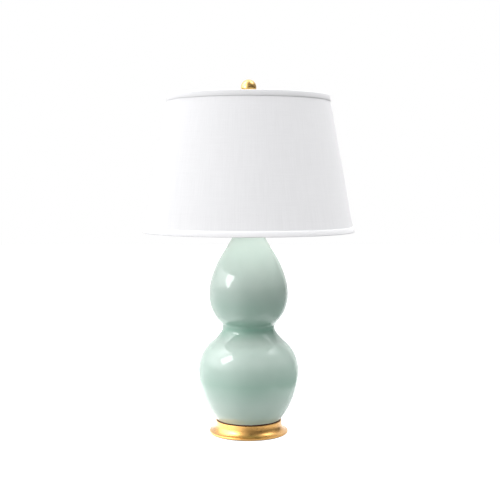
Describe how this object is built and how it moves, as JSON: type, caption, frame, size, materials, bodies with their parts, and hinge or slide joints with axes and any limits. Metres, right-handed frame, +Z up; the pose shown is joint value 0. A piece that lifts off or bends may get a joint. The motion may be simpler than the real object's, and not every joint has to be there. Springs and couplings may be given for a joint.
{
  "type": "table lamp",
  "caption": "Table lamp with a glazed ceramic double-gourd body on a gilded foot, a tapered drum shade on a harp, and a ball finial.",
  "frame": {"origin": "middle of the felt pad's underside, where the lamp stands on the table", "axes": "+Z up along the lamp's pipe; -Y is the front, with the turn switch; +Y is the back, with the cord inlet; the harp's loop lies in the XZ plane"},
  "size_m": [0.4317, 0.4318, 0.7233],
  "materials": {
    "glaze": "celadon glaze, high gloss",
    "gold_leaf": "turned wood, water-gilded with gold leaf",
    "felt": "pressed felt",
    "gasket": "matte",
    "steel": "zinc plated",
    "brass": "polished and lacquered",
    "gilt_finial": "gilded, satin",
    "black_plastic": "moulded",
    "phenolic": "moulded",
    "liner": "vulcanised fibre",
    "aluminium": "rolled thread",
    "opal_glass": "opal",
    "black_glass": "glossy",
    "linen": "off-white linen weave",
    "backing": "translucent styrene",
    "tape": "folded tape of the same cloth",
    "wire": "white enamelled wire"
  },
  "bodies": {
    "lamp": {"felt_pad": "felt", "foot_plinth": "gold_leaf", "cord_bushing": "brass", "foot_washer": "steel", "lock_washer": "steel", "foot_nut": "steel", "seat_gasket": "gasket", "gourd_body": "glaze", "cap_gasket": "gasket", "vase_cap": "brass", "neck_spacer": "brass", "harp_saddle": "brass", "lamp_pipe": "steel", "socket_cap": "brass", "cap_set_screw": "brass", "socket_shell": "brass", "socket_liner": "liner", "socket_core": "phenolic", "terminal_screws": "brass", "screw_shell": "aluminium", "centre_contact": "brass"},
    "switch_key": {"switch_shaft": "brass", "switch_knob": "black_plastic"},
    "bulb_tip": {"bulb_contact": "steel"},
    "bulb": {"bulb_insulator": "black_glass", "bulb_cap": "aluminium", "bulb_envelope": "opal_glass"},
    "harp": {"harp_wire": "brass"},
    "left_ferrule": {"ferrule_left": "brass"},
    "right_ferrule": {"ferrule_right": "brass"},
    "shade": {"swivel_stud": "brass", "spider": "wire", "shade_ring_top": "wire", "shade_ring_bottom": "wire", "shade_backing": "backing", "shade_cloth": "linen", "trim_top": "tape", "trim_bottom": "tape"},
    "finial_base": {"finial_collar": "brass"},
    "finial": {"finial_ball": "gilt_finial"}
  },
  "joints": [
    {"name": "switch_turn", "type": "hinge", "parent": "lamp", "child": "switch_key", "pos_m": [0, -0.0159, 0.47303], "axis": [0, -1, 0], "continuous": true},
    {"name": "bulb_lift", "type": "slide", "parent": "lamp", "child": "bulb_tip", "axis": [0, 0, 1], "range_m": [0, 0.0146]},
    {"name": "bulb_turn", "type": "hinge", "parent": "bulb_tip", "child": "bulb", "pos_m": [0, 0, 0.48643], "axis": [0, 0, 1], "range_deg": [0, 1440]},
    {"name": "harp_lift", "type": "slide", "parent": "lamp", "child": "harp", "axis": [0, 0, 1], "range_m": [0, 0.025]},
    {"name": "left_ferrule_lift", "type": "slide", "parent": "harp", "child": "left_ferrule", "axis": [0, 0, 1], "range_m": [0, 0.016]},
    {"name": "right_ferrule_lift", "type": "slide", "parent": "harp", "child": "right_ferrule", "axis": [0, 0, 1], "range_m": [0, 0.016]},
    {"name": "shade_swivel", "type": "hinge", "parent": "harp", "child": "shade", "pos_m": [0, 0, 0.67213], "axis": [0, 0, 1], "continuous": true},
    {"name": "finial_lift", "type": "slide", "parent": "shade", "child": "finial_base", "axis": [0, 0, 1], "range_m": [0, 0.0099]},
    {"name": "finial_turn", "type": "hinge", "parent": "finial_base", "child": "finial", "pos_m": [0, 0, 0.69063], "axis": [0, 0, 1], "range_deg": [0, 3780]}
  ],
  "couplings": [
    {"joint": "bulb_lift", "follows": "bulb_turn", "m_per_rad": 0.00057773},
    {"joint": "finial_lift", "follows": "finial_turn", "m_per_rad": 0.00014972}
  ]
}
